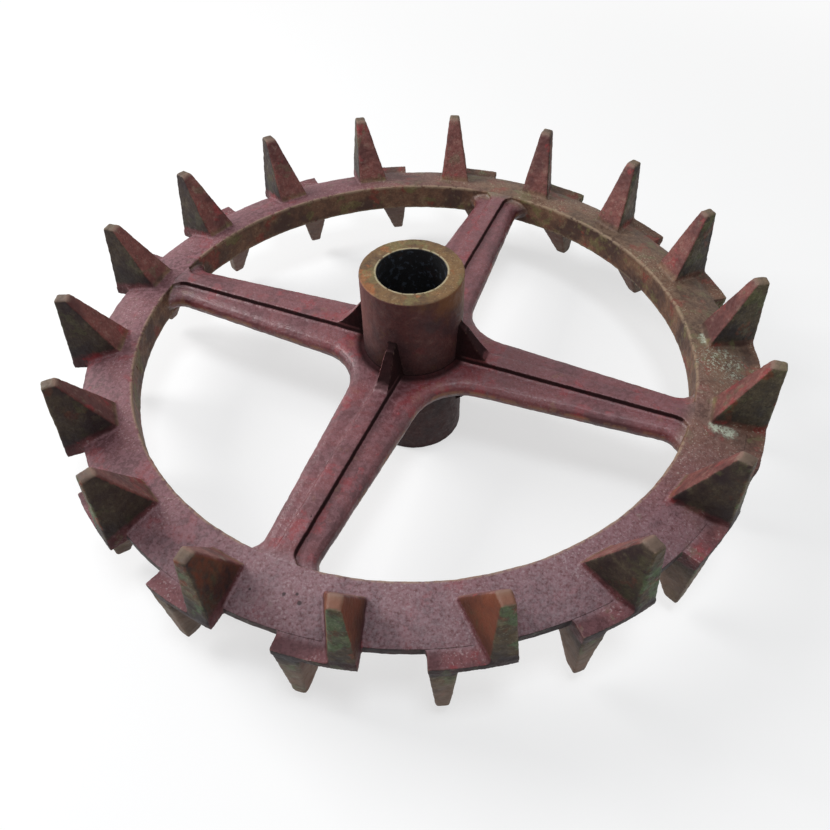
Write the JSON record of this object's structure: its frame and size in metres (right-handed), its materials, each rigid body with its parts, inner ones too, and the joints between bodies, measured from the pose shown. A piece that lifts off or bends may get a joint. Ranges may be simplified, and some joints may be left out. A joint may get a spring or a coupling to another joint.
{
  "type": "cambridge roller ring",
  "caption": "Cast iron toothed ring of a land roller: fixed hub, ribbed spokes and a wedge rim with spikes on both faces, in red-oxide primer.",
  "frame": {"origin": "centre of the hub's bore on the casting's mid-plane, which is the centre of the bounding box", "axes": "+Z along the bore; X and Y in the plane of the ring"},
  "size_m": [0.53, 0.53, 0.154],
  "materials": {
    "primed_rim": "red-oxide primer over rough casting, dusty",
    "primed_spoke": "red-oxide primer, slightly glossy",
    "primed_spike": "red-oxide primer with worn edges and grey-green weathering",
    "primed_hub": "thin primer with ochre rust on the end faces"
  },
  "bodies": {
    "root": {"ring_rim": "primed_rim", "hub_barrel": "primed_hub", "spoke_1": "primed_spoke", "spoke_2": "primed_spoke", "spoke_3": "primed_spoke", "spoke_4": "primed_spoke", "upper_spike_01": "primed_spike", "upper_spike_02": "primed_spike", "upper_spike_03": "primed_spike", "upper_spike_04": "primed_spike", "upper_spike_05": "primed_spike", "upper_spike_06": "primed_spike", "upper_spike_07": "primed_spike", "upper_spike_08": "primed_spike", "upper_spike_09": "primed_spike", "upper_spike_10": "primed_spike", "upper_spike_11": "primed_spike", "upper_spike_12": "primed_spike", "upper_spike_13": "primed_spike", "upper_spike_14": "primed_spike", "upper_spike_15": "primed_spike", "upper_spike_16": "primed_spike", "upper_spike_17": "primed_spike", "upper_spike_18": "primed_spike", "lower_spike_01": "primed_spike", "lower_spike_02": "primed_spike", "lower_spike_03": "primed_spike", "lower_spike_04": "primed_spike", "lower_spike_05": "primed_spike", "lower_spike_06": "primed_spike", "lower_spike_07": "primed_spike", "lower_spike_08": "primed_spike", "lower_spike_09": "primed_spike", "lower_spike_10": "primed_spike", "lower_spike_11": "primed_spike", "lower_spike_12": "primed_spike", "lower_spike_13": "primed_spike", "lower_spike_14": "primed_spike", "lower_spike_15": "primed_spike", "lower_spike_16": "primed_spike", "lower_spike_17": "primed_spike", "lower_spike_18": "primed_spike"}
  },
  "joints": []
}
